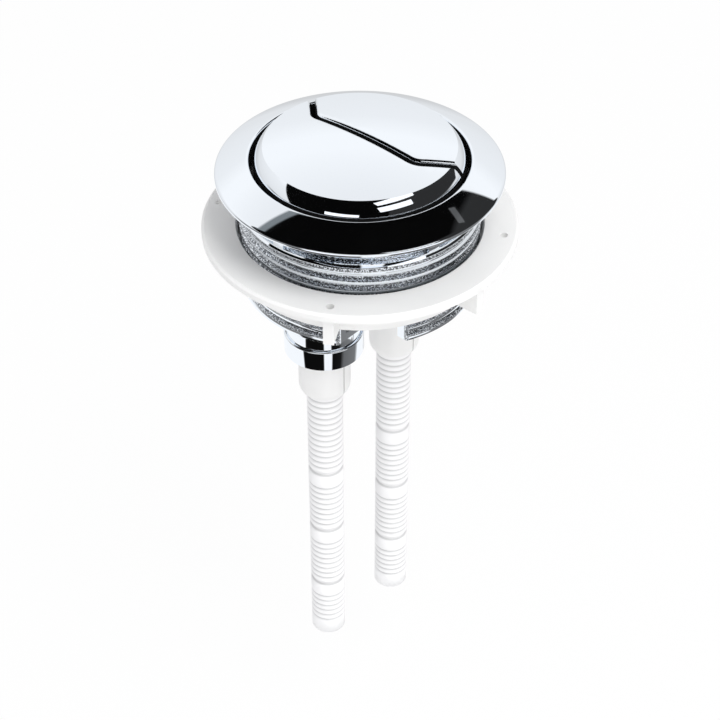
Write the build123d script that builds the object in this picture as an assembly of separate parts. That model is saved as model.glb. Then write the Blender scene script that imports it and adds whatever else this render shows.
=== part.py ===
from build123d import *
import math
import os

# Dual flush push button for a cistern lid, in millimetres.
# The origin is on the axis of the barrel, in the plane of the lid that the bezel rests on.
# +Z points up, and +X points from the full flush rod to the half flush rod.

# Fits between pieces
seat_gap = 0.05
sliding_gap = 0.1
collar_gap = 0.3
opening_gap = 1.0

# Barrel: the threaded tube through the lid, with a floor bridge and two guide sleeves
thread_diameter = 58.0
thread_runout = 0.4
barrel_depth = 30.1
barrel_foot_chamfer = 0.6
neck_height = 1.5
neck_relief = 0.4
neck_wall = 1.25
neck_depth = 7.0
window_top = 2.0
window_height = 4.1
window_post = 3.0
window_post_turn = 77.0
notch_height = 9.0
notch_from_x = 12.7
notch_from_y = 14.4
floor_thickness = 2.0
sleeve_wall = 1.76
sleeve_reserve = 1.3
sleeve_ring_height = 5.6
sleeve_ring_step = 0.6
flare_rise = 3.0
flare_rim_inset = 0.8
flare_side_inset = 1.0

# Bezel: the ring on the lid, snapped into the neck of the barrel
bezel_overhang = 5.25
bezel_edge = 1.0
bezel_height = 4.25
bezel_crown = 0.15
bezel_lip = 0.5
bezel_foot_width = 1.9
bezel_foot_round = 0.3
spigot_wall = 1.3
spigot_slot = 4.0
hook_reach = 1.0
hook_face = 0.8
hook_length = 3.3
hook_angle = 20.0

# Buttons: one crowned disc in two parts, split along a bracket-shaped line
button_guide_gap = 0.9
button_height = 9.4
button_crown = 2.0
button_bevel_width = 2.2
button_bevel_drop = 3.5
button_bevel_bulge = 0.25
button_wall = 1.5
button_skirt_depth = 3.0
split_offset = 1.2
split_half_length = 15.3
split_bend = 45.0
split_corner_radius = 4.2
split_gap = 1.4
split_edge_round = 0.8
boss_inset = 1.1
boss_depth = 14.0
rib_thickness = 1.4
rib_drop = 1.0
press_travel = 8.0

# Plungers: tubes that slide in the sleeves and grip the rods
plunger_wall = 1.8
plunger_reach_full = 13.5
plunger_reach_half = 16.7
plunger_web = 4.0
plunger_nose = 2.4
plunger_nose_bevel = 0.6
plunger_nose_land = 0.5
plunger_slit_width = 0.8
plunger_slit_height = 10.0
collar_step = 1.3
collar_height = 5.0

# Return springs around the plungers' stems
spring_wire = 1.0
spring_turns = 4.5
spring_room = 0.5
spring_wire_sides = 4

# Screws that hold the plungers to the buttons
screw_diameter = 3.0
screw_length = 12.0
screw_head_diameter = 6.6
screw_head_height = 2.0
screw_tip = 1.2
screw_recess_width = 0.9
screw_recess_depth = 1.0

# Rods: length stops pushed up into the plungers, with notches to break them at
rod_spacing = 27.1
rod_diameter = 9.24
rod_gap = 0.08
rod_length = 110.0
rod_grip_full = 22.0
rod_grip_half = 21.7
rod_end_chamfer = 0.5
rod_notch_pitch = 20.6
rod_notch_count = 3
rod_notch_depth = 0.7
rod_notch_upper = 0.5
rod_notch_lower = 1.3

# Clamp nut: flanged ring with two pairs of lugs, run up the barrel from below the lid
nut_gap = 0.1
nut_top = 13.6
nut_flange_width = 9.05
nut_plate = 2.0
nut_edge_chamfer = 0.6
nut_bore_chamfer = 0.8
nut_hub_wall = 1.9
nut_height = 9.5
nut_lug_spread = 60.0
nut_lug_reach = 6.0
nut_lug_thickness = 2.5
nut_lug_depth = 9.4
nut_lug_angle = 29.6
nut_hole_count = 4
nut_hole_diameter = 1.9
nut_hole_inset = 3.3

# Radii that follow from the sizes above
thread_radius = thread_diameter / 2
neck_radius = thread_radius - neck_relief
neck_bore_radius = neck_radius - neck_wall
spigot_radius = neck_bore_radius - seat_gap
opening_radius = spigot_radius - spigot_wall
button_radius = opening_radius - opening_gap
bore_radius = button_radius + button_guide_gap
bezel_radius = thread_radius + bezel_overhang
rod_radius = rod_diameter / 2
rod_bore_radius = rod_radius + rod_gap
plunger_radius = rod_bore_radius + plunger_wall
boss_radius = plunger_radius - boss_inset
stem_hole_radius = plunger_radius + sliding_gap
collar_radius = plunger_radius + collar_step
sleeve_bore_radius = collar_radius + collar_gap
sleeve_radius = sleeve_bore_radius + sleeve_wall
sleeve_neck_radius = sleeve_radius - sleeve_ring_step
spring_radius = plunger_radius + spring_room + spring_wire / 2
nut_bore_radius = thread_radius + nut_gap
nut_hub_radius = nut_bore_radius + nut_hub_wall
nut_flange_radius = thread_radius + nut_flange_width
screw_radius = screw_diameter / 2

# Heights that follow from the sizes above
barrel_foot = -barrel_depth
floor_top = barrel_foot + floor_thickness
collar_top = barrel_foot - sliding_gap
collar_foot = collar_top - collar_height
sleeve_foot = collar_foot - press_travel - sleeve_reserve
sleeve_ring_top = sleeve_foot + sleeve_ring_height
neck_step = -neck_depth
spigot_foot = neck_step + sliding_gap
thread_top = -window_top - window_height - thread_runout
notch_top = barrel_foot + notch_height
skirt_foot = -button_skirt_depth
spring_seat = skirt_foot - rib_drop
plunger_top = -boss_depth
full_plunger_foot = sleeve_foot - plunger_reach_full
half_plunger_foot = sleeve_foot - plunger_reach_half
screw_seat = plunger_top - plunger_web
nut_under = -nut_top - nut_plate

# Places of the two rods along X
full_x = -rod_spacing / 2
half_x = rod_spacing / 2

# Turns of the two lines of posts between the windows, and of the middles of the four windows
post_turns = (0, window_post_turn)
window_middles = [window_post_turn / 2 + half_turn for half_turn in (0, 180)]
window_middles += [window_post_turn / 2 + 90 + half_turn for half_turn in (0, 180)]

# Larger than any radius of the object, for cutting shapes that pass right through
beyond = bezel_radius + nut_flange_radius


def turned(outline):
    """Solid of revolution about the Z axis from a closed outline drawn in X and Z."""
    return revolve(Plane.XZ * make_face(outline), Axis.Z)


def tube(radius, low, high, x=0.0):
    """Upright cylinder between two heights."""
    return Pos(x, 0, low) * Cylinder(radius, high - low, align=(Align.CENTER, Align.CENTER, Align.MIN))


def block(x_size, y_size, low, high, x=0.0, y=0.0):
    """Upright box between two heights, centred on x and y."""
    return Pos(x, y, low) * Box(x_size, y_size, high - low, align=(Align.CENTER, Align.CENTER, Align.MIN))


def make_bezel():
    foot_inner = bezel_radius - bezel_foot_width
    ledge = neck_height + seat_gap
    crown_middle = (
        (bezel_radius + opening_radius) / 2,
        (bezel_edge + bezel_height) / 2 + bezel_crown,
    )
    shoulder = opening_radius + bezel_lip
    lip_foot = bezel_height - bezel_lip
    top = ThreePointArc((bezel_radius, bezel_edge), crown_middle, (shoulder, bezel_height))
    lip = CenterArc((shoulder, lip_foot), bezel_lip, 90, 90)
    inside = Polyline(
        (opening_radius, lip_foot),
        (opening_radius, spigot_foot),
        (spigot_radius, spigot_foot),
        (spigot_radius, ledge),
        (neck_radius + seat_gap, ledge),
        (foot_inner, bezel_edge - bezel_foot_round),
        (foot_inner, 0),
        (bezel_radius - bezel_foot_round, 0),
        (bezel_radius, bezel_foot_round),
        (bezel_radius, bezel_edge),
    )
    ring = turned([top, lip, inside])
    for turn in post_turns:
        slot = block(2 * beyond, spigot_slot, -beyond, 0)
        ring -= Rot(0, 0, turn) * slot
    hook_top = -window_top - seat_gap
    hook_outer = spigot_radius + hook_reach
    hook_root = spigot_radius - spigot_wall / 2
    hook_outline = Polyline(
        (hook_root, hook_top),
        (hook_outer, hook_top),
        (hook_outer, hook_top - hook_face),
        (spigot_radius, hook_top - hook_length),
        (hook_root, hook_top - hook_length),
        close=True,
    )
    hook = revolve(Plane.XZ * make_face(hook_outline), Axis.Z, revolution_arc=hook_angle)
    for window in window_middles:
        ring += Rot(0, 0, window - hook_angle / 2) * hook
    return ring


def make_flare():
    """Funnel from the outer half of the sleeve's neck at +X up to the rim of the barrel."""
    foot = sleeve_ring_top + flare_rise
    rim = thread_radius - flare_rim_inset
    side_y = notch_from_y - flare_side_inset
    corner_x = math.sqrt(rim**2 - side_y**2)
    low = make_face(
        [
            CenterArc((half_x, 0), sleeve_neck_radius, -90, 45),
            CenterArc((half_x, 0), sleeve_neck_radius, -45, 90),
            CenterArc((half_x, 0), sleeve_neck_radius, 45, 45),
            Line((half_x, sleeve_neck_radius), (half_x, -sleeve_neck_radius)),
        ]
    )
    high = make_face(
        [
            Line((half_x, -side_y), (corner_x, -side_y)),
            ThreePointArc((corner_x, -side_y), (rim, 0), (corner_x, side_y)),
            Line((corner_x, side_y), (half_x, side_y)),
            Line((half_x, side_y), (half_x, -side_y)),
        ]
    )
    return loft([Pos(0, 0, foot) * low, Pos(0, 0, barrel_foot) * high], ruled=True)


def make_sleeve(x):
    """Guide sleeve below the floor, flared outwards to the rim of the barrel."""
    side = math.copysign(1, x)
    sleeve = tube(sleeve_radius, sleeve_foot, sleeve_ring_top, x)
    sleeve += tube(sleeve_neck_radius, sleeve_ring_top, floor_top, x)
    sleeve += Rot(0, 0, 90 - 90 * side) * make_flare()
    return sleeve


def make_barrel():
    wall = turned(
        Polyline(
            (neck_bore_radius, neck_height),
            (neck_radius, neck_height),
            (neck_radius, thread_top),
            (thread_radius, thread_top - neck_relief),
            (thread_radius, barrel_foot + barrel_foot_chamfer),
            (thread_radius - barrel_foot_chamfer, barrel_foot),
            (bore_radius, barrel_foot),
            (bore_radius, neck_step),
            (neck_bore_radius, neck_step),
            close=True,
        )
    )
    window_foot = -window_top - window_height
    windows = tube(beyond, window_foot, -window_top) - tube(bore_radius, window_foot, -window_top)
    for turn in post_turns:
        windows -= Rot(0, 0, turn) * block(2 * beyond, window_post, window_foot, -window_top)
    wall -= windows
    corner_x = (notch_from_x + beyond) / 2
    corner_y = (notch_from_y + beyond) / 2
    for side_x in (-1, 1):
        for side_y in (-1, 1):
            wall -= block(
                beyond - notch_from_x,
                beyond - notch_from_y,
                barrel_foot - 1,
                notch_top,
                side_x * corner_x,
                side_y * corner_y,
            )
    bridge = tube(thread_radius - barrel_foot_chamfer, barrel_foot, floor_top)
    bridge &= block(2 * beyond, 2 * notch_from_y, barrel_foot, floor_top)
    barrel = wall + bridge
    for x in (full_x, half_x):
        barrel += make_sleeve(x)
    for x in (full_x, half_x):
        barrel -= tube(sleeve_bore_radius, sleeve_foot, barrel_foot, x)
        barrel -= tube(stem_hole_radius, barrel_foot, floor_top, x)
    return barrel


def make_nut():
    ring = turned(
        Polyline(
            (nut_bore_radius + nut_bore_chamfer, -nut_top),
            (nut_flange_radius - nut_edge_chamfer, -nut_top),
            (nut_flange_radius, -nut_top - nut_edge_chamfer),
            (nut_flange_radius, nut_under),
            (nut_hub_radius, nut_under),
            (nut_hub_radius, -nut_top - nut_height),
            (nut_bore_radius, -nut_top - nut_height),
            (nut_bore_radius, -nut_top - nut_bore_chamfer),
            close=True,
        )
    )
    lug_inner = nut_bore_radius + nut_hub_wall / 2
    lug_outer = nut_hub_radius + nut_lug_reach
    lug = block(
        lug_outer - lug_inner,
        nut_lug_thickness,
        -nut_top - nut_lug_depth,
        nut_under,
        (lug_inner + lug_outer) / 2,
    )
    for opposite in (0, 180):
        for spread in (0, nut_lug_spread):
            ring += Rot(0, 0, nut_lug_angle + opposite + spread) * lug
    hole = tube(nut_hole_diameter / 2, nut_under, -nut_top, nut_flange_radius - nut_hole_inset)
    for place in range(nut_hole_count):
        ring -= Rot(0, 0, nut_lug_angle + 360 / nut_hole_count * place) * hole
    return ring


def split_region(shift, side):
    """Plan area on one side of the split line, which is moved along +X by shift."""
    bend = math.radians(split_bend)
    corner_y = split_half_length - shift * math.tan(bend / 2)
    corner_x = split_offset + shift
    end_x = corner_x + beyond * math.sin(bend)
    end_y = corner_y + beyond * math.cos(bend)
    line = FilletPolyline(
        (end_x, -end_y),
        (corner_x, -corner_y),
        (corner_x, corner_y),
        (end_x, end_y),
        radius=split_corner_radius - shift,
    )
    far_x = side * 2 * beyond
    back = Polyline((end_x, end_y), (far_x, end_y), (far_x, -end_y), (end_x, -end_y))
    return make_face([line, back])


def crown_arc(inset, reach):
    """Arc of the crown, or of a surface inset below it, from the radius it reaches to the axis."""
    shoulder = button_radius - button_bevel_width
    crown_radius = (shoulder**2 + button_crown**2) / (2 * button_crown)
    radius = crown_radius - inset
    angle = math.degrees(math.asin(reach / radius))
    return CenterArc((0, button_height - crown_radius), radius, 90 - angle, angle)


def button_disc():
    """Crowned and bevelled disc of both buttons together."""
    shoulder = button_radius - button_bevel_width
    rim = button_height - button_crown
    edge = rim - button_bevel_drop
    crown = crown_arc(0, shoulder)
    slope = math.hypot(button_bevel_width, button_bevel_drop)
    bevel_middle = (
        (shoulder + button_radius) / 2 + button_bevel_bulge * button_bevel_drop / slope,
        (rim + edge) / 2 + button_bevel_bulge * button_bevel_width / slope,
    )
    bevel = ThreePointArc((shoulder, rim), bevel_middle, (button_radius, edge))
    rest = Polyline((button_radius, edge), (button_radius, skirt_foot), (0, skirt_foot), (0, button_height))
    return turned([crown, bevel, rest])


def button_hollow(wall, foot):
    """Space under the disc, one wall in from its outside."""
    roof = crown_arc(wall, button_radius - button_bevel_width - wall / 2)
    walls = Polyline(
        roof @ 0,
        (button_radius - wall, (roof @ 0).Y - button_bevel_drop),
        (button_radius - wall, foot),
        (0, foot),
        roof @ 1,
    )
    return turned([roof, walls])


def make_button(x):
    side = math.copysign(1, x)
    plan = Pos(0, 0, skirt_foot)
    height = button_height - skirt_foot
    outer = extrude(plan * split_region(side * split_gap / 2, side), height)
    inner = extrude(plan * split_region(side * (split_gap / 2 + button_wall), side), height)
    # The turned disc's seam lies on the side away from the split
    button = Rot(0, 0, 90 - 90 * side) * button_disc() & outer
    shoulder_radius = button_radius - button_bevel_width
    shoulder_height = button_height - button_crown - button_bevel_drop / 2
    split_edges = []
    for edge in button.edges():
        middle = edge.center()
        if middle.Z > shoulder_height and math.hypot(middle.X, middle.Y) < shoulder_radius:
            split_edges.append(edge)
    button = fillet(split_edges, split_edge_round)
    button -= button_hollow(button_wall, skirt_foot) & inner
    boss = tube(boss_radius, plunger_top, button_height, x)
    rib_span = 2 * (spring_radius + spring_wire / 2)
    boss += block(rib_span, rib_thickness, spring_seat, button_height, x)
    boss += block(rib_thickness, rib_span, spring_seat, button_height, x)
    button += boss & button_hollow(button_wall / 2, plunger_top)
    pilot_depth = screw_length - plunger_web + sliding_gap
    button -= tube(screw_radius + seat_gap, plunger_top, plunger_top + pilot_depth, x)
    return button


def make_plunger(x, foot):
    nose_top = foot + plunger_nose
    nose_radius = rod_bore_radius + plunger_nose_land
    plunger = turned(
        Polyline(
            (nose_radius, foot),
            (plunger_radius - plunger_nose_bevel, foot + plunger_nose_bevel),
            (plunger_radius, nose_top),
            (plunger_radius, collar_foot),
            (collar_radius, collar_foot),
            (collar_radius, collar_top),
            (plunger_radius, collar_top),
            (plunger_radius, plunger_top),
            (screw_radius + sliding_gap, plunger_top),
            (screw_radius + sliding_gap, screw_seat),
            (rod_bore_radius, screw_seat),
            (rod_bore_radius, foot),
            close=True,
        )
    )
    plunger -= block(plunger_slit_width, 2 * beyond, foot, foot + plunger_slit_height)
    return Pos(x, 0, 0) * plunger


def make_spring(x):
    low = floor_top + spring_wire / 2 + sliding_gap
    high = spring_seat - spring_wire / 2 - sliding_gap
    coil = Helix((high - low) / spring_turns, high - low, spring_radius, center=(x, 0, low))
    section = Plane(coil @ 0, z_dir=coil % 0) * RegularPolygon(spring_wire / 2, spring_wire_sides)
    return sweep(section, path=coil, is_frenet=True)


def make_screw(x):
    tip = screw_seat + screw_length
    screw = turned(
        Polyline(
            (0, screw_seat - screw_head_height),
            (screw_head_diameter / 2, screw_seat - screw_head_height),
            (screw_head_diameter / 2, screw_seat),
            (screw_radius, screw_seat),
            (screw_radius, tip - screw_tip),
            (0, tip),
            close=True,
        )
    )
    recess_low = screw_seat - screw_head_height
    recess_span = screw_head_diameter / 2
    for turn in (0, 90):
        recess = block(recess_span, screw_recess_width, recess_low, recess_low + screw_recess_depth)
        screw -= Rot(0, 0, turn) * recess
    return Pos(x, 0, 0) * screw


def make_rod(x, top):
    foot = top - rod_length
    points = [
        (0, foot),
        (rod_radius - rod_end_chamfer, foot),
        (rod_radius, foot + rod_end_chamfer),
    ]
    for number in range(1, rod_notch_count + 1):
        notch = foot + rod_notch_pitch * number
        points.append((rod_radius, notch - rod_notch_lower))
        points.append((rod_radius - rod_notch_depth, notch))
        points.append((rod_radius, notch + rod_notch_upper))
    points.append((rod_radius, top - rod_end_chamfer))
    points.append((rod_radius - rod_end_chamfer, top))
    points.append((0, top))
    return Pos(x, 0, 0) * turned(Polyline(*points, close=True))


nodes = {
    "bezel": make_bezel(),
    "barrel": make_barrel(),
    "clamp_nut": make_nut(),
    "full_button": make_button(full_x),
    "half_button": make_button(half_x),
    "full_plunger": make_plunger(full_x, full_plunger_foot),
    "half_plunger": make_plunger(half_x, half_plunger_foot),
    "full_spring": make_spring(full_x),
    "half_spring": make_spring(half_x),
    "full_screw": make_screw(full_x),
    "half_screw": make_screw(half_x),
    "full_rod": make_rod(full_x, full_plunger_foot + rod_grip_full),
    "half_rod": make_rod(half_x, half_plunger_foot + rod_grip_half),
}

os.makedirs("parts", exist_ok=True)
for name, solid in nodes.items():
    export_step(solid, f"parts/{name}.step")
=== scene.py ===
import math

import bmesh
import bpy
from mathutils import Matrix, Vector


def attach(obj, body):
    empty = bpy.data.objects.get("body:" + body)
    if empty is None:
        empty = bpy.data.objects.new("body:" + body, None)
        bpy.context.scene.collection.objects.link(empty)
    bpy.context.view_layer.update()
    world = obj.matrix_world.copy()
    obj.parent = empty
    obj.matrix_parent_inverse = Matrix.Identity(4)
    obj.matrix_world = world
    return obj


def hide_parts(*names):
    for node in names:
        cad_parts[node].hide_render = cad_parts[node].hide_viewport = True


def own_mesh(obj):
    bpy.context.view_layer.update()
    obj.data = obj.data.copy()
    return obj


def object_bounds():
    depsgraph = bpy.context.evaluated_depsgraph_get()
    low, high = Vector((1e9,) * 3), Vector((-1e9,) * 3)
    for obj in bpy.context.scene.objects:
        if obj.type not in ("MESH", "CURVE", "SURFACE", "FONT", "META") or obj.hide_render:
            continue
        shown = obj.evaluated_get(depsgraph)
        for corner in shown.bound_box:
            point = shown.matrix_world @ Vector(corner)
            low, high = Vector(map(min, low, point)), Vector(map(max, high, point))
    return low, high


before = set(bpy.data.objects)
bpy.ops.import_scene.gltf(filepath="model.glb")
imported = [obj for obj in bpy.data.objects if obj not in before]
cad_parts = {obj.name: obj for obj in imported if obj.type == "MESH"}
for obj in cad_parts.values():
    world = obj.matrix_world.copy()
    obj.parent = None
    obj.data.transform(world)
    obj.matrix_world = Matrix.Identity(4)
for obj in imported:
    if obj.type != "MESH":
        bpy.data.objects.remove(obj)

cad_box = [list(corner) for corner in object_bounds()]
mm = 0.001


# Barrel: the threaded tube that passes through the lid, with windows for the bezel's hooks,
# a floor bridge and two flared guide sleeves. It is one moulding in ABS, plated with chrome,
# and a coarse thread is moulded into its wall, with the mould's spark-eroded grain on the flanks.
thread_pitch = 2.53 * mm
thread_first_z = -8.3 * mm
thread_last_z = -28.5 * mm
thread_crest_radius = 29.0 * mm
thread_root_radius = 27.95 * mm
thread_steps_per_turn = 96
neck_groove_top = -7.0 * mm
neck_groove_foot = -8.3 * mm
neck_groove_depth = 0.45 * mm
neck_groove_root = 0.1 * mm
groove_lip = 0.1 * mm
cutter_reach = 0.5 * mm
groove_share_at_crest = 0.86
groove_share_at_root = 0.14
eroded_grain = 0.4 * mm
chrome_tint = "#F3F8FE"
dull_pit_tint = "#8A8D92"
# Painted shade: the black given to the steep walls down in the narrow gaps of the bezel and buttons
painted_gap_shade_tint = "#141516"
rod_offset = 13.55 * mm
sleeve_radius = 9.86 * mm
sleeve_ring_top = -38.9 * mm
sleeve_ring_round = 0.45 * mm
round_steps = 192
match_tolerance = 0.05 * mm


def linear(hex_colour):
    """Linear RGBA from an sRGB hex value."""
    channels = [int(hex_colour[i:i + 2], 16) / 255 for i in (1, 3, 5)]
    return [c / 12.92 if c <= 0.04045 else ((c + 0.055) / 1.055) ** 2.4 for c in channels] + [1.0]


def add_node(tree, kind, settings=(), values=(), links=()):
    """A node of that kind, with its settings, its socket values and the sockets that feed it."""
    node = tree.nodes.new(kind)
    for name, value in dict(settings).items():
        setattr(node, name, value)
    for name, value in dict(values).items():
        node.inputs[name].default_value = value
    for name, source in dict(links).items():
        tree.links.new(source, node.inputs[name])
    return node


def new_material(name):
    """A material that has no nodes yet, and the tree that takes them."""
    material = bpy.data.materials.new(name)
    material.use_nodes = True
    tree = material.node_tree
    tree.nodes.clear()
    return material, tree


def chrome_plating():
    # Bright chrome on moulded ABS: a mirror with a faint bluish cast. The plating follows the
    # moulding's slight waviness, a few millimetres long, and polishing leaves it a little uneven.
    # The steep walls of the narrow gaps get painted shade: black, dull and not metal.
    # Below the lid's plane the plating covers the mould's spark-eroded grain.
    material, tree = new_material("bright_chrome_plating_on_moulded_abs")
    place = add_node(tree, "ShaderNodeTexCoord")
    haze = add_node(tree, "ShaderNodeTexNoise", values={"Scale": 1 / (9 * mm), "Detail": 3.0},
                    links={"Vector": place.outputs["Object"]})
    roughness = add_node(tree, "ShaderNodeMapRange",
                         values={"From Min": 0.3, "From Max": 0.7, "To Min": 0.015, "To Max": 0.045},
                         links={"Value": haze.outputs["Fac"]})
    waves = add_node(tree, "ShaderNodeTexNoise", values={"Scale": 1 / (5 * mm), "Detail": 1.0},
                     links={"Vector": place.outputs["Object"]})
    wavy = add_node(tree, "ShaderNodeBump", values={"Strength": 0.05, "Distance": 0.02 * mm},
                    links={"Height": waves.outputs["Fac"]})
    height = add_node(tree, "ShaderNodeSeparateXYZ", links={"Vector": place.outputs["Object"]})
    below_lid = add_node(tree, "ShaderNodeMapRange",
                         values={"From Min": -0.2 * mm, "From Max": -0.6 * mm},
                         links={"Value": height.outputs["Z"]})
    grain = add_node(tree, "ShaderNodeTexNoise", values={"Scale": 1 / eroded_grain, "Detail": 1.0},
                     links={"Vector": place.outputs["Object"]})
    relief = add_node(tree, "ShaderNodeMath", {"operation": "MULTIPLY"},
                      links={0: grain.outputs["Fac"], 1: below_lid.outputs["Result"]})
    bump = add_node(tree, "ShaderNodeBump", values={"Strength": 0.8, "Distance": 0.12 * mm},
                    links={"Height": relief.outputs["Value"], "Normal": wavy.outputs["Normal"]})
    # Painted shade: where this attribute is 0, on the gap walls, the surface is black, dull and not
    # metal
    plating_or_painted_shade = add_node(tree, "ShaderNodeAttribute", {"attribute_name": "plating_or_painted_shade"})
    tint = add_node(tree, "ShaderNodeMix", {"data_type": "RGBA"},
                    {"A": linear(painted_gap_shade_tint), "B": linear(chrome_tint)},
                    {"Factor": plating_or_painted_shade.outputs["Fac"]})
    gloss = add_node(tree, "ShaderNodeMix", {"data_type": "FLOAT"}, {"A": 0.7},
                     {"Factor": plating_or_painted_shade.outputs["Fac"], "B": roughness.outputs["Result"]})
    shader = add_node(tree, "ShaderNodeBsdfPrincipled",
                      links={"Base Color": tint.outputs["Result"],
                             "Metallic": plating_or_painted_shade.outputs["Fac"],
                             "Roughness": gloss.outputs["Result"],
                             "Normal": bump.outputs["Normal"]})
    add_node(tree, "ShaderNodeOutputMaterial", links={"Surface": shader.outputs["BSDF"]})
    return material


def grained_chrome_plating():
    # The same plating on the barrel, whose thread keeps the eroded grain of the mould, with bumps
    # about 0.2 mm across. So the flanks glitter, with duller pits, and the crests, the sleeves and
    # the neck stay bright.
    material, tree = new_material("chrome_plating_on_spark_eroded_abs")
    place = add_node(tree, "ShaderNodeTexCoord")
    across = add_node(tree, "ShaderNodeVectorMath", {"operation": "MULTIPLY"}, {1: (1.0, 1.0, 0.0)},
                      {0: place.outputs["Object"]})
    radius = add_node(tree, "ShaderNodeVectorMath", {"operation": "LENGTH"},
                      links={0: across.outputs["Vector"]})
    height = add_node(tree, "ShaderNodeSeparateXYZ", links={"Vector": place.outputs["Object"]})
    outside = add_node(tree, "ShaderNodeMapRange",
                       values={"From Min": thread_root_radius - 0.4 * mm,
                               "From Max": thread_root_radius},
                       links={"Value": radius.outputs["Value"]})
    below_neck = add_node(tree, "ShaderNodeMapRange",
                          values={"From Min": neck_groove_top + 0.1 * mm,
                                  "From Max": neck_groove_top - 0.1 * mm},
                          links={"Value": height.outputs["Z"]})
    threaded = add_node(tree, "ShaderNodeMath", {"operation": "MULTIPLY"},
                        links={0: outside.outputs["Result"], 1: below_neck.outputs["Result"]})
    off_crest = add_node(tree, "ShaderNodeMapRange",
                         values={"From Min": thread_crest_radius - 0.02 * mm,
                                 "From Max": thread_crest_radius - 0.1 * mm},
                         links={"Value": radius.outputs["Value"]})
    on_flanks = add_node(tree, "ShaderNodeMath", {"operation": "MULTIPLY"},
                         links={0: threaded.outputs["Value"], 1: off_crest.outputs["Result"]})
    grain = add_node(tree, "ShaderNodeTexNoise", values={"Scale": 1 / eroded_grain, "Detail": 1.0},
                     links={"Vector": place.outputs["Object"]})
    relief = add_node(tree, "ShaderNodeMath", {"operation": "MULTIPLY"},
                      links={0: grain.outputs["Fac"], 1: on_flanks.outputs["Value"]})
    bump = add_node(tree, "ShaderNodeBump", values={"Strength": 1.0, "Distance": 0.18 * mm},
                    links={"Height": relief.outputs["Value"]})
    roughness = add_node(tree, "ShaderNodeMapRange", values={"To Min": 0.03, "To Max": 0.07},
                         links={"Value": on_flanks.outputs["Value"]})
    pits = add_node(tree, "ShaderNodeMapRange", values={"From Min": 0.58, "From Max": 0.44},
                    links={"Value": grain.outputs["Fac"]})
    in_pits = add_node(tree, "ShaderNodeMath", {"operation": "MULTIPLY"},
                       links={0: pits.outputs["Result"], 1: on_flanks.outputs["Value"]})
    tint = add_node(tree, "ShaderNodeMix", {"data_type": "RGBA"},
                    {"A": linear(chrome_tint), "B": linear(dull_pit_tint)},
                    {"Factor": in_pits.outputs["Value"]})
    shader = add_node(tree, "ShaderNodeBsdfPrincipled", values={"Metallic": 1.0},
                      links={"Base Color": tint.outputs["Result"],
                             "Roughness": roughness.outputs["Result"],
                             "Normal": bump.outputs["Normal"]})
    add_node(tree, "ShaderNodeOutputMaterial", links={"Surface": shader.outputs["BSDF"]})
    return material


def new_object(name, bm):
    """A mesh object at the origin, linked to the scene."""
    mesh = bpy.data.meshes.new(name)
    bm.to_mesh(mesh)
    bm.free()
    piece = bpy.data.objects.new(name, mesh)
    bpy.context.scene.collection.objects.link(piece)
    return piece


def finish_piece(piece, material, body, node, crease=32):
    """Smooth shading with sharp creases, the finish, and the CAD node that the piece stands for."""
    imported = piece.data.attributes.get("custom_normal")
    if imported:
        piece.data.attributes.remove(imported)
    piece.data.shade_smooth()
    piece.data.set_sharp_from_angle(angle=math.radians(crease))
    piece.data.materials.clear()
    piece.data.materials.append(material)
    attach(piece, body)
    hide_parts(node)


def merged_copy(node):
    """The CAD node's shape with its triangles joined at their corners."""
    bm = bmesh.new()
    bm.from_mesh(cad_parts[node].data)
    bmesh.ops.remove_doubles(bm, verts=bm.verts, dist=0.001 * mm)
    return bm


def spin_outline(bm, outline, steps, start=0.0, angle=2 * math.pi, rise=0.0, closed=True):
    """Spins an outline of (radius, height) points about Z. A part turn gets end faces."""
    full = rise == 0.0 and abs(angle - 2 * math.pi) < 1e-6
    turn = Matrix.Rotation(start, 4, "Z")
    verts = [bm.verts.new(turn @ Vector((radius, 0, height))) for radius, height in outline]
    geometry = list(verts)
    if full:
        pairs = zip(verts, verts[1:] + verts[:1]) if closed else zip(verts, verts[1:])
        geometry += [bm.edges.new(pair) for pair in pairs]
    else:
        face = bm.faces.new(verts)
        geometry += list(face.edges) + [face]
    bmesh.ops.spin(bm, geom=geometry, cent=(0, 0, 0), axis=(0, 0, 1), angle=angle, steps=steps,
                   dvec=(0, 0, rise / steps), use_merge=full, use_duplicate=False)


def close_up(bm):
    """Joins seams and poles and points the faces outwards."""
    bmesh.ops.remove_doubles(bm, verts=bm.verts, dist=0.0005 * mm)
    bmesh.ops.recalc_face_normals(bm, faces=bm.faces)


def cut(piece, cutter):
    """Takes the cutter's shape out of the piece."""
    knife = piece.modifiers.new("cut", "BOOLEAN")
    knife.operation = "DIFFERENCE"
    knife.solver = "EXACT"
    knife.object = cutter
    evaluated = piece.evaluated_get(bpy.context.evaluated_depsgraph_get())
    mesh = bpy.data.meshes.new_from_object(evaluated)
    piece.modifiers.clear()
    piece.data = mesh
    bpy.data.objects.remove(cutter)


def thread_groove():
    """The helical space between the crests, with its lips rolled over and its root rounded."""
    mouth = thread_crest_radius + groove_lip
    flank_steps = 5
    lower = []
    for step in range(flank_steps + 1):
        share = step / flank_steps
        roll = 0.5 - 0.5 * math.cos(math.pi * share)
        opening = groove_share_at_crest + (groove_share_at_root - groove_share_at_crest) * share
        lower.append((mouth + (thread_root_radius - mouth) * roll, -thread_pitch / 2 * opening))
    upper = [(radius, -height) for radius, height in reversed(lower)]
    outline = [(radius, height + thread_first_z) for radius, height in lower + upper]
    turns = (thread_first_z - thread_last_z) / thread_pitch
    bm = bmesh.new()
    spin_outline(bm, outline, round(thread_steps_per_turn * turns), angle=2 * math.pi * turns,
                 rise=thread_last_z - thread_first_z)
    close_up(bm)
    return new_object("thread_groove", bm)


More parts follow.
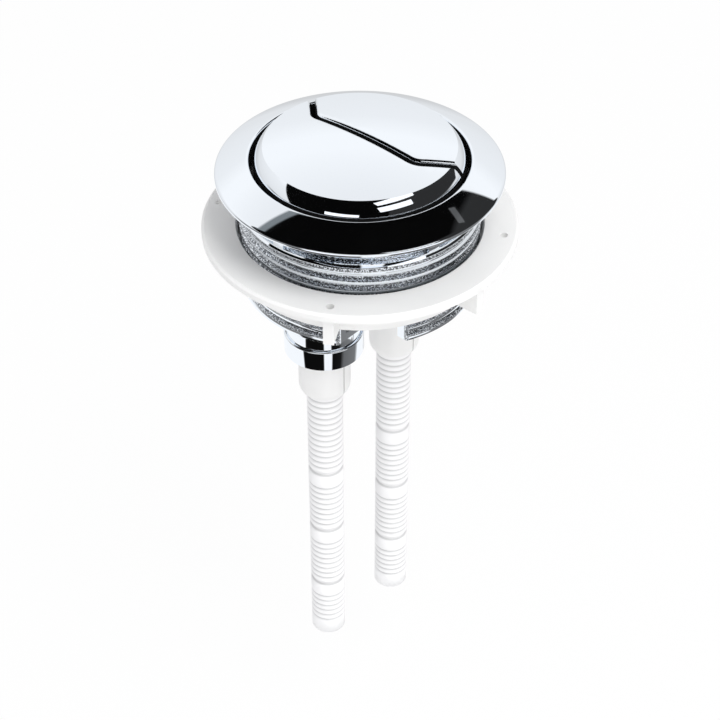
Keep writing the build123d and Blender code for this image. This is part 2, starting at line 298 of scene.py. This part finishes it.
def neck_groove():
    """The tapered groove that the thread runs out into, under the barrel's neck."""
    root_radius = thread_crest_radius - neck_groove_depth
    root_top = neck_groove_top - groove_lip
    outline = [
        (thread_crest_radius + cutter_reach, neck_groove_foot),
        (thread_crest_radius + groove_lip, neck_groove_foot),
        (root_radius, root_top - neck_groove_root),
        (root_radius, root_top),
        (thread_crest_radius + groove_lip, neck_groove_top),
        (thread_crest_radius + cutter_reach, neck_groove_top),
    ]
    bm = bmesh.new()
    spin_outline(bm, outline, round_steps)
    close_up(bm)
    return new_object("neck_groove", bm)


def rounded_barrel():
    """The CAD barrel with the upper edges of the sleeves' rings rounded."""
    bm = merged_copy("barrel")
    bmesh.ops.dissolve_limit(bm, angle_limit=math.radians(0.5), verts=bm.verts, edges=bm.edges)
    edges = []
    for edge in bm.edges:
        if all(abs(vert.co.z - sleeve_ring_top) < match_tolerance for vert in edge.verts):
            reach = [math.hypot(abs(vert.co.x) - rod_offset, vert.co.y) for vert in edge.verts]
            if all(abs(distance - sleeve_radius) < match_tolerance for distance in reach):
                edges.append(edge)
    bmesh.ops.bevel(bm, geom=edges, offset=sleeve_ring_round, offset_type="OFFSET", segments=4,
                    profile=0.5, affect="EDGES", material=-1)
    return bm


bright_chrome = chrome_plating()
barrel = new_object("threaded_barrel", rounded_barrel())
cut(barrel, thread_groove())
cut(barrel, neck_groove())
finish_piece(barrel, grained_chrome_plating(), "housing", "barrel", crease=40)


# Bezel: the chromed ring that rests on the lid. It is an ABS moulding, its top a shallow dome
# with a rounded lip, and below it a slotted spigot whose four hooks snap into the barrel's windows.
bezel_radius = 34.25 * mm
bezel_height = 4.25 * mm
opening_radius = 26.0 * mm
bezel_edge_height = 1.0 * mm
bezel_crown = 0.15 * mm
bezel_lip = 0.5 * mm
bezel_dome_share = 0.98
bezel_dome_steps = 24
bezel_side_round = 2.2 * mm
bezel_side_turn = 17
bezel_foot_inner = 32.35 * mm
bezel_foot_round = 0.3 * mm
spigot_radius = 27.3 * mm
spigot_foot = -6.9 * mm
spigot_overlap = 0.05 * mm
spigot_step_angle = 2
ledge_radius = 28.65 * mm
ledge_height = 1.55 * mm
slot_turns = (0, 77, 180, 257)
slot_half_angle = 4.2
hook_turns = (38.5, 128.5, 218.5, 308.5)
hook_angle = 20
hook_top = -2.05 * mm
hook_outer = 28.3 * mm
hook_inner = 26.65 * mm
hook_face = 0.8 * mm
hook_length = 3.3 * mm
hook_steps = 12
# The ring gap round the buttons and the steep walls inside the bore get painted shade: black, dull,
# not metal
button_gap_middle = 25.5 * mm
button_gap_reach = 0.6 * mm
button_gap_top = 3.85 * mm
painted_shade_wall_margin = 0.15 * mm
painted_shade_wall_slope = 0.2


def arc(centre_radius, centre_height, size, start, end, steps):
    """Points of an arc in an outline, from one angle to another in degrees."""
    angles = [math.radians(start + (end - start) * i / steps) for i in range(steps + 1)]
    return [(centre_radius + size * math.cos(a), centre_height + size * math.sin(a)) for a in angles]


def bezel_ring():
    """Closed outline of the ring: dome, lip, bore, ledge and foot."""
    dome = []
    inner = opening_radius + bezel_lip
    for step in range(bezel_dome_steps + 1):
        share = bezel_dome_share * step / bezel_dome_steps
        slope = bezel_edge_height + (bezel_height - bezel_edge_height) * share
        crown = 4 * bezel_crown * share * (1 - share)
        dome.append((bezel_radius + (inner - bezel_radius) * share, slope + crown))
    last_radius, last_height = dome[-1]
    start = math.acos((last_radius - inner) / bezel_lip)
    lip_centre = last_height - bezel_lip * math.sin(start)
    lip = arc(inner, lip_centre, bezel_lip, math.degrees(start), 180, 10)[1:]
    below = [
        (opening_radius, 0),
        (spigot_radius, 0),
        (spigot_radius, ledge_height),
        (ledge_radius, ledge_height),
        (bezel_foot_inner, bezel_edge_height - bezel_foot_round),
        (bezel_foot_inner, 0),
    ]
    foot = arc(bezel_radius - bezel_foot_round, bezel_foot_round, bezel_foot_round, -90, 0, 5)
    side_centre = bezel_radius - bezel_side_round
    side = arc(side_centre, bezel_foot_round, bezel_side_round, 0, bezel_side_turn, 6)[1:]
    return dome[1:] + lip + below + foot + side


def mark_plated_and_painted_shade(piece):
    """Marks the faces that the plating covers, and the walls down in the narrow gaps, which get
    painted shade instead.
    """
    plating_or_painted_shade = piece.data.attributes.new("plating_or_painted_shade", "FLOAT", "FACE")
    for face in piece.data.polygons:
        reach = math.hypot(face.center.x, face.center.y)
        is_wall = reach < opening_radius + painted_shade_wall_margin and abs(face.normal.z) < painted_shade_wall_slope
        in_gap = abs(reach - button_gap_middle) < button_gap_reach and face.center.z < button_gap_top
        plating_or_painted_shade.data[face.index].value = 0.0 if is_wall or in_gap else 1.0


bm = bmesh.new()
spin_outline(bm, bezel_ring(), round_steps)
spigot_outline = [
    (opening_radius, spigot_overlap),
    (opening_radius, spigot_foot),
    (spigot_radius, spigot_foot),
    (spigot_radius, spigot_overlap),
]
for first, second in zip(slot_turns, slot_turns[1:] + (360 + slot_turns[0],)):
    arc_angle = second - first - 2 * slot_half_angle
    spin_outline(bm, spigot_outline, round(arc_angle / spigot_step_angle),
                 math.radians(first + slot_half_angle), math.radians(arc_angle))
hook_outline = [
    (hook_inner, hook_top),
    (hook_outer, hook_top),
    (hook_outer, hook_top - hook_face),
    (spigot_radius, hook_top - hook_length),
    (hook_inner, hook_top - hook_length),
]
for turn in hook_turns:
    spin_outline(bm, hook_outline, hook_steps, math.radians(turn - hook_angle / 2),
                 math.radians(hook_angle))
close_up(bm)
bezel = new_object("bezel_ring", bm)
# Painted shade on the bore's steep wall and in the ring gap
mark_plated_and_painted_shade(bezel)
finish_piece(bezel, bright_chrome, "housing", "bezel")


# Return springs: one round each plunger's stem, between the barrel's floor and the button's ribs.
# They are wound from 1 mm stainless wire and left as drawn.
spring_radius = 7.5 * mm
spring_wire_radius = 0.5 * mm
spring_low = -27.5 * mm
spring_high = -4.6 * mm
spring_turns = 4.5
spring_steps_per_turn = 40
spring_wire_sides = 12


def drawn_stainless():
    # Drawn stainless wire and plain screw heads: grey metal with fine die lines along it, which
    # show as a slightly streaky, half-dull gloss.
    material, tree = new_material("drawn_stainless_steel")
    place = add_node(tree, "ShaderNodeTexCoord")
    lines = add_node(tree, "ShaderNodeTexNoise", values={"Scale": 1 / (0.6 * mm), "Detail": 3.0},
                     links={"Vector": place.outputs["Object"]})
    roughness = add_node(tree, "ShaderNodeMapRange", values={"To Min": 0.2, "To Max": 0.4},
                         links={"Value": lines.outputs["Fac"]})
    shader = add_node(tree, "ShaderNodeBsdfPrincipled",
                      values={"Base Color": linear("#C9C8C6"), "Metallic": 1.0},
                      links={"Roughness": roughness.outputs["Result"]})
    add_node(tree, "ShaderNodeOutputMaterial", links={"Surface": shader.outputs["BSDF"]})
    return material


stainless = drawn_stainless()
for name, side in (("full", -1), ("half", 1)):
    bm = bmesh.new()
    wire = arc(spring_radius, spring_low, spring_wire_radius, 0, 360 - 360 / spring_wire_sides,
               spring_wire_sides - 1)
    spin_outline(bm, wire, round(spring_steps_per_turn * spring_turns),
                 angle=2 * math.pi * spring_turns, rise=spring_high - spring_low)
    close_up(bm)
    bmesh.ops.translate(bm, verts=bm.verts, vec=(side * rod_offset, 0, 0))
    spring = new_object(name + "_return_spring", bm)
    finish_piece(spring, stainless, "housing", name + "_spring", crease=60)
    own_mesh(spring)


# Buttons: the crowned disc in two parts, split along a bracket-shaped line, the larger for a full
# flush and the smaller for half a flush. They are thin ABS shells with bosses, plated with chrome.
for name in ("full", "half"):
    button = new_object(name + "_flush_button", merged_copy(name + "_button"))
    # Painted shade on the walls of the split and the ring gap
    mark_plated_and_painted_shade(button)
    finish_piece(button, bright_chrome, name + "_flush", name + "_button", crease=28)


# Plungers: white tubes that slide in the barrel's sleeves, each screwed to its button's boss.
# They are moulded in polypropylene, with a rounded nose that is slit so that it grips the rod.
plunger_radius = 6.5 * mm
plunger_bore = 4.7 * mm
plunger_top = -14.0 * mm
plunger_web_foot = -18.0 * mm
plunger_feet = {"full": -58.0 * mm, "half": -61.2 * mm}
plunger_nose = 2.4 * mm
plunger_nose_land = 0.5 * mm
plunger_nose_steps = 9
plunger_mouth_bevel = 0.2 * mm
collar_radius = 7.8 * mm
collar_top = -30.2 * mm
collar_foot = -35.2 * mm
screw_hole_radius = 1.6 * mm
slit_width = 0.4 * mm
slit_height = 10.0 * mm


def moulded_polypropylene():
    # Moulded polypropylene: white and slightly waxy, so light goes a little way in. The surface
    # has a fine moulded texture of about 0.5 mm and faint flow marks a few millimetres long.
    material, tree = new_material("moulded_white_polypropylene")
    place = add_node(tree, "ShaderNodeTexCoord")
    flow = add_node(tree, "ShaderNodeTexNoise", values={"Scale": 1 / (14 * mm), "Detail": 2.0},
                    links={"Vector": place.outputs["Object"]})
    tint = add_node(tree, "ShaderNodeMix", {"data_type": "RGBA"},
                    {"A": linear("#F6F6F4"), "B": linear("#EFEFEE")},
                    {"Factor": flow.outputs["Fac"]})
    texture = add_node(tree, "ShaderNodeTexNoise", values={"Scale": 1 / (0.9 * mm), "Detail": 2.0},
                       links={"Vector": place.outputs["Object"]})
    bump = add_node(tree, "ShaderNodeBump", values={"Strength": 0.12, "Distance": 0.03 * mm},
                    links={"Height": texture.outputs["Fac"]})
    shader = add_node(tree, "ShaderNodeBsdfPrincipled",
                      values={"Roughness": 0.36, "IOR": 1.49, "Subsurface Weight": 0.15,
                              "Subsurface Radius": (1.0, 1.0, 1.0), "Subsurface Scale": 1.1 * mm},
                      links={"Base Color": tint.outputs["Result"], "Normal": bump.outputs["Normal"]})
    add_node(tree, "ShaderNodeOutputMaterial", links={"Surface": shader.outputs["BSDF"]})
    return material


white_plastic = moulded_polypropylene()


def plunger_outline(foot):
    """Closed outline of a plunger: bore, web, stem, collar and rounded nose."""
    tip = plunger_radius - plunger_bore - plunger_nose_land
    nose = []
    for step in range(plunger_nose_steps + 1):
        turn = math.pi / 2 * step / plunger_nose_steps
        nose.append((plunger_radius - tip * (1 - math.cos(turn)),
                     foot + plunger_nose * (1 - math.sin(turn))))
    return [
        (plunger_bore, foot + plunger_mouth_bevel),
        (plunger_bore, plunger_web_foot),
        (screw_hole_radius, plunger_web_foot),
        (screw_hole_radius, plunger_top),
        (plunger_radius, plunger_top),
        (plunger_radius, collar_top),
        (collar_radius, collar_top),
        (collar_radius, collar_foot),
        (plunger_radius, collar_foot),
    ] + nose


for name, side in (("full", -1), ("half", 1)):
    bm = bmesh.new()
    spin_outline(bm, plunger_outline(plunger_feet[name]), round_steps // 2)
    close_up(bm)
    plunger = new_object(name + "_plunger_tube", bm)
    blade = bmesh.new()
    bmesh.ops.create_cube(blade, size=1.0)
    bmesh.ops.scale(blade, vec=(slit_width, 4 * plunger_radius, 2 * slit_height), verts=blade.verts)
    bmesh.ops.translate(blade, vec=(0, 0, plunger_feet[name]), verts=blade.verts)
    cut(plunger, new_object("slit_blade", blade))
    plunger.data.transform(Matrix.Translation((side * rod_offset, 0, 0)))
    finish_piece(plunger, white_plastic, name + "_flush", name + "_plunger")


# Screws: one up inside each plunger, driven through its web into the boss of the button.
# They are pan heads in plain stainless steel, like the springs.
for name in ("full", "half"):
    screw = new_object(name + "_boss_screw", merged_copy(name + "_screw"))
    finish_piece(screw, stainless, name + "_flush", name + "_screw")


# Rods: the long white push rods that reach down to the flush valve, moulded in polypropylene with
# fine rings that the plunger grips, and with notches where they can be snapped to length.
rod_radius = 4.62 * mm
rod_length = 110.0 * mm
rod_tops = {"full": -36.0 * mm, "half": -39.5 * mm}
rod_end_chamfer = 0.5 * mm
notch_pitch = 20.6 * mm
notch_count = 3
notch_depth = 0.7 * mm
notch_upper = 0.5 * mm
notch_lower = 1.3 * mm
notch_root_low = 0.4 * mm
notch_root_high = 0.4 * mm
ring_pitch = notch_pitch / 11
ring_depth = 0.5 * mm
rings_by_stretch = (6, 8, 8, 24)
band_rings = 3
# One ring from its crest to its root, in shares of the rings' pitch and depth
barb = ((0, 0), (0.3, 0.06), (0.55, 0.25), (0.75, 0.55), (0.9, 0.9), (0.96, 1))
# Painted shade in the grooves: grey levels of the plastic, from the depth of a notch's root to the
# rod's outside
painted_groove_shade_levels = ((0.0, 0.9), (0.2, 0.88), (0.3, 0.7), (0.6, 0.66), (0.9, 0.955))


def rod_outline(top):
    """Outline of a rod from foot to top: barbed rings, and a plain band under each notch."""
    foot = top - rod_length
    outline = [(0, foot), (rod_radius - rod_end_chamfer, foot), (rod_radius, foot + rod_end_chamfer)]
    for number, rings in enumerate(rings_by_stretch):
        notch = foot + notch_pitch * (number + 1)
        low = notch + notch_upper - (band_rings + rings) * ring_pitch
        if number == notch_count:
            low = notch - notch_pitch + notch_upper
        for ring in range(rings):
            for share, dip in barb:
                outline.append((rod_radius - ring_depth * dip, low + (ring + share) * ring_pitch))
        if number < notch_count:
            outline.append((rod_radius, low + rings * ring_pitch))
            outline.append((rod_radius, notch - notch_lower))
            outline.append((rod_radius - notch_depth, notch - notch_root_low))
            outline.append((rod_radius - notch_depth, notch + notch_root_high))
    outline += [(rod_radius, top - rod_end_chamfer), (rod_radius - rod_end_chamfer, top), (0, top)]
    return outline


def ramp(tree, source, stops):
    """A colour ramp over grey levels, from (place, level) stops."""
    node = add_node(tree, "ShaderNodeValToRGB", links={"Fac": source})
    elements = node.color_ramp.elements
    elements[0].position = stops[0][0]
    elements[1].position = stops[-1][0]
    for place, level in stops[1:-1]:
        elements.new(place)
    for element, (place, level) in zip(elements, stops):
        element.color = (level, level, level, 1)
    return node.outputs["Color"]


def ringed_polypropylene():
    # Moulded polypropylene of the rods: a cleaner white than the nut's, semi-gloss. The roots of the
    # rings and notches are painted greyer than the crests: painted shade where the grooves are
    # shaded.
    material, tree = new_material("moulded_ringed_white_polypropylene")
    place = add_node(tree, "ShaderNodeTexCoord")
    spot = add_node(tree, "ShaderNodeSeparateXYZ", links={"Vector": place.outputs["Object"]})
    off_middle = add_node(tree, "ShaderNodeMath", {"operation": "ABSOLUTE"},
                          links={0: spot.outputs["X"]})
    off_axis = add_node(tree, "ShaderNodeMath", {"operation": "SUBTRACT"}, {1: rod_offset},
                        {0: off_middle.outputs["Value"]})
    across = add_node(tree, "ShaderNodeCombineXYZ",
                      links={"X": off_axis.outputs["Value"], "Y": spot.outputs["Y"]})
    radius = add_node(tree, "ShaderNodeVectorMath", {"operation": "LENGTH"},
                      links={0: across.outputs["Vector"]})
    out_of_groove = add_node(tree, "ShaderNodeMapRange",
                             values={"From Min": rod_radius - notch_depth, "From Max": rod_radius},
                             links={"Value": radius.outputs["Value"]})
    # Painted shade: the plastic greys towards the roots of the grooves
    tint = ramp(tree, out_of_groove.outputs["Result"], painted_groove_shade_levels)
    shader = add_node(tree, "ShaderNodeBsdfPrincipled", values={"IOR": 1.49, "Roughness": 0.4},
                      links={"Base Color": tint})
    add_node(tree, "ShaderNodeOutputMaterial", links={"Surface": shader.outputs["BSDF"]})
    return material


rod_plastic = ringed_polypropylene()
for name, side in (("full", -1), ("half", 1)):
    bm = bmesh.new()
    spin_outline(bm, rod_outline(rod_tops[name]), round_steps // 4, closed=False)
    close_up(bm)
    bmesh.ops.translate(bm, verts=bm.verts, vec=(side * rod_offset, 0, 0))
    rod = new_object(name + "_push_rod", bm)
    finish_piece(rod, rod_plastic, name + "_extension", name + "_rod", crease=50)


# Clamp nut: the flanged nut that is run up the thread against the lid from below. It is moulded in
# white polypropylene, with a flat flange, two pairs of lugs to grip it by and small moulded holes,
# and its bore is a loose fit, so a dark line shows round the thread.
nut_bore_radius = 29.1 * mm
nut_bore_clearance = 0.3 * mm
nut_edge_round = 0.2 * mm
nut_sharp_edge = 40

bm = merged_copy("clamp_nut")
for vert in bm.verts:
    reach = math.hypot(vert.co.x, vert.co.y)
    if abs(reach - nut_bore_radius) < match_tolerance:
        vert.co.xy *= (nut_bore_radius + nut_bore_clearance) / reach
nut = new_object("flanged_clamp_nut", bm)
moulded_edges = nut.modifiers.new("moulded_edges", "BEVEL")
moulded_edges.width = nut_edge_round
moulded_edges.segments = 2
moulded_edges.limit_method = "ANGLE"
moulded_edges.angle_limit = math.radians(nut_sharp_edge)
finish_piece(nut, white_plastic, "nut", "clamp_nut", crease=nut_sharp_edge)


# Studio: a pale floor below the rods' feet, and a white room with a dark ceiling and camera side
# that shows in the chrome. A key and a fill light the plastic, softboxes and a strip show as bars
# in the chrome, and the camera stands above and to the left.
camera_place = Vector((-264.0, -227.9, 235.2)) * mm
camera_aim = Vector((0, 0, -58.0)) * mm
camera_lens = 89.01
floor_drop = 30.0 * mm
floor_height = cad_box[0][2] - floor_drop
floor_half_width = 2000 * mm
floor_glow = 0.95

forward = Vector((camera_aim.x - camera_place.x, camera_aim.y - camera_place.y, 0)).normalized()
rightward = forward.cross(Vector((0, 0, 1)))


def from_camera(right, ahead, up):
    """A direction in the frame, from one given to the camera's right, ahead of it and up."""
    return (rightward * right + forward * ahead + Vector((0, 0, up))).normalized()


floor_mesh = bmesh.new()
bmesh.ops.create_grid(floor_mesh, x_segments=1, y_segments=1, size=floor_half_width)
bmesh.ops.translate(floor_mesh, vec=(0, 0, floor_height), verts=floor_mesh.verts)
floor = new_object("floor", floor_mesh)
material, tree = new_material("white_seamless_paper")
paper = add_node(tree, "ShaderNodeBsdfDiffuse", values={"Color": linear("#F2F2F2")})
glow = add_node(tree, "ShaderNodeEmission", values={"Color": (1, 1, 1, 1), "Strength": 1.0})
rays = add_node(tree, "ShaderNodeLightPath")
seen = add_node(tree, "ShaderNodeMath", {"operation": "MULTIPLY"}, {1: floor_glow},
                {0: rays.outputs["Is Camera Ray"]})
surface = add_node(tree, "ShaderNodeMixShader",
                   links={0: seen.outputs["Value"], 1: paper.outputs["BSDF"],
                          2: glow.outputs["Emission"]})
add_node(tree, "ShaderNodeOutputMaterial", links={"Surface": surface.outputs["Shader"]})
floor.data.materials.append(material)
floor.visible_glossy = False


def along(tree, direction, axis):
    """How far a direction points along an axis, from -1 to 1."""
    node = add_node(tree, "ShaderNodeVectorMath", {"operation": "DOT_PRODUCT"}, {1: axis},
                    {0: direction})
    return node.outputs["Value"]


def between(tree, source, low, high):
    """0 below the low value and 1 above the high one; the two may be swapped."""
    node = add_node(tree, "ShaderNodeMapRange", values={"From Min": low, "From Max": high},
                    links={"Value": source})
    return node.outputs["Result"]


def within(tree, axis_share, outer, inner):
    """1 inside the inner angle from an axis, in degrees, and 0 outside the outer one."""
    return between(tree, axis_share, math.cos(math.radians(outer)), math.cos(math.radians(inner)))


def round_ramp(tree, turn, stops):
    """Grey levels round the object, from (degrees to the camera's right, level) stops."""
    return ramp(tree, turn, [(0.5 + degrees / 360, level) for degrees, level in stops])


def blend(tree, factor, first, second):
    """A mix of two colours, each a socket or a fixed colour."""
    node = add_node(tree, "ShaderNodeMix", {"data_type": "RGBA"}, links={"Factor": factor})
    for name, colour in (("A", first), ("B", second)):
        if isinstance(colour, bpy.types.NodeSocket):
            tree.links.new(colour, node.inputs[name])
        else:
            node.inputs[name].default_value = colour
    return node.outputs["Result"]


world = bpy.data.worlds.new("studio")
bpy.context.scene.world = world
world.use_nodes = True
tree = world.node_tree
tree.nodes.clear()
towards = add_node(tree, "ShaderNodeTexCoord").outputs["Generated"]
up = along(tree, towards, (0, 0, 1))
to_right = along(tree, towards, rightward)
to_camera = along(tree, towards, -forward)
# The white sweep behind the object, a little dimmer near the floor and towards the ceiling
sweep = ramp(tree, up, ((0.0, 0.82), (0.12, 0.86), (0.4, 0.91), (0.52, 1.0), (0.6, 1.0),
                        (0.8, 0.90)))
# The dark side of the room, behind and above the camera, with a grey edge on its left
room_axis = along(tree, towards, from_camera(0.31, -0.833, 0.459))
in_room = within(tree, room_axis, 93.8, 92.8)
room = ramp(tree, to_right, ((0.46, 0.002), (0.49, 0.028)))
past_edge = within(tree, room_axis, 90.6, 89.8)
on_left = between(tree, to_right, 0.0, -0.1)
edge_level = blend(tree, on_left, room, (0.21, 0.23, 0.24, 1))
edge_level = blend(tree, between(tree, up, 0.7, 0.8), room, edge_level)
room = blend(tree, past_edge, edge_level, room)
upper = blend(tree, in_room, sweep, room)
# Black and white cards stand round the object below the lens's view, and pale floor lies behind it
angle = add_node(tree, "ShaderNodeMath", {"operation": "ARCTAN2"},
                 links={0: to_right, 1: to_camera})
turn = between(tree, angle.outputs["Value"], -math.pi, math.pi)
lower = round_ramp(tree, turn, ((-58, 1.0), (-56, 0.004), (0, 0.004), (2, 1.0), (22, 1.0),
                                (24, 0.004), (48, 0.01), (58, 0.14), (104, 0.2), (107, 1.0)))
# Nearer the horizon the white floor shows in front of the object, beyond the cards
front = round_ramp(tree, turn, ((-44, 0.2), (-40, 1.0), (62, 1.0), (66, 0.2)))
lower = blend(tree, between(tree, up, -0.47, -0.40), lower, front)
depth = between(tree, up, 0.0, -0.5)
far_floor = ramp(tree, depth, ((0.0, 0.84), (0.1, 0.82), (0.4, 0.68), (0.64, 0.64), (1.0, 1.0)))
behind = between(tree, to_camera, -0.1, -0.3)
lower = blend(tree, behind, lower, far_floor)
below = between(tree, up, -0.02, -0.06)
mirrored = blend(tree, below, upper, lower)
rays = add_node(tree, "ShaderNodeLightPath")
lit = blend(tree, rays.outputs["Is Glossy Ray"], linear("#DADADC"), mirrored)
shown = blend(tree, rays.outputs["Is Camera Ray"], lit, (1, 1, 1, 1))
background = add_node(tree, "ShaderNodeBackground", values={"Strength": 1.0},
                      links={"Color": shown})
add_node(tree, "ShaderNodeOutputWorld", links={"Surface": background.outputs["Background"]})


def softbox(name, towards, distance, width, height, brightness):
    """A rectangular softbox that faces the bezel; brightness 1 shows as white in the chrome."""
    lamp = bpy.data.lights.new(name, "AREA")
    lamp.shape = "RECTANGLE"
    lamp.size = width
    lamp.size_y = height
    lamp.energy = brightness * math.pi * width * height
    box = bpy.data.objects.new(name, lamp)
    box.location = towards * distance
    box.rotation_euler = towards.to_track_quat("Z", "Y").to_euler()
    bpy.context.scene.collection.objects.link(box)
    return box


# The key and the fill don't show in the chrome. The rest stand nearer, and they do.
far, near = 1.0, 0.7
key = softbox("right_key", from_camera(0.34, -0.36, 0.87), far, 0.5, 0.5, brightness=6.0)
key.visible_glossy = False
fill = softbox("front_fill", from_camera(0.1, -0.98, -0.05), far, 0.6, 0.6, brightness=1.3)
fill.visible_glossy = False
softbox("right_softbox_upper", from_camera(0.481, -0.521, 0.705), near, 0.45, 0.12, brightness=1.2)
softbox("right_softbox_lower", from_camera(0.551, -0.707, 0.443), near, 0.42, 0.17, brightness=1.2)
softbox("left_strip", from_camera(-0.297, -0.941, 0.165), near, 0.43, 0.13, brightness=1.2)
softbox("far_window", from_camera(0.493, 0.375, 0.785), near, 0.09, 0.03, brightness=0.1)

lens = bpy.data.cameras.new("camera")
lens.sensor_width = 36
lens.lens = camera_lens
camera = bpy.data.objects.new("camera", lens)
camera.location = camera_place
camera.rotation_euler = (camera_aim - camera_place).to_track_quat("-Z", "Y").to_euler()
bpy.context.scene.collection.objects.link(camera)
bpy.context.scene.camera = camera
bpy.context.scene.view_settings.view_transform = "Standard"
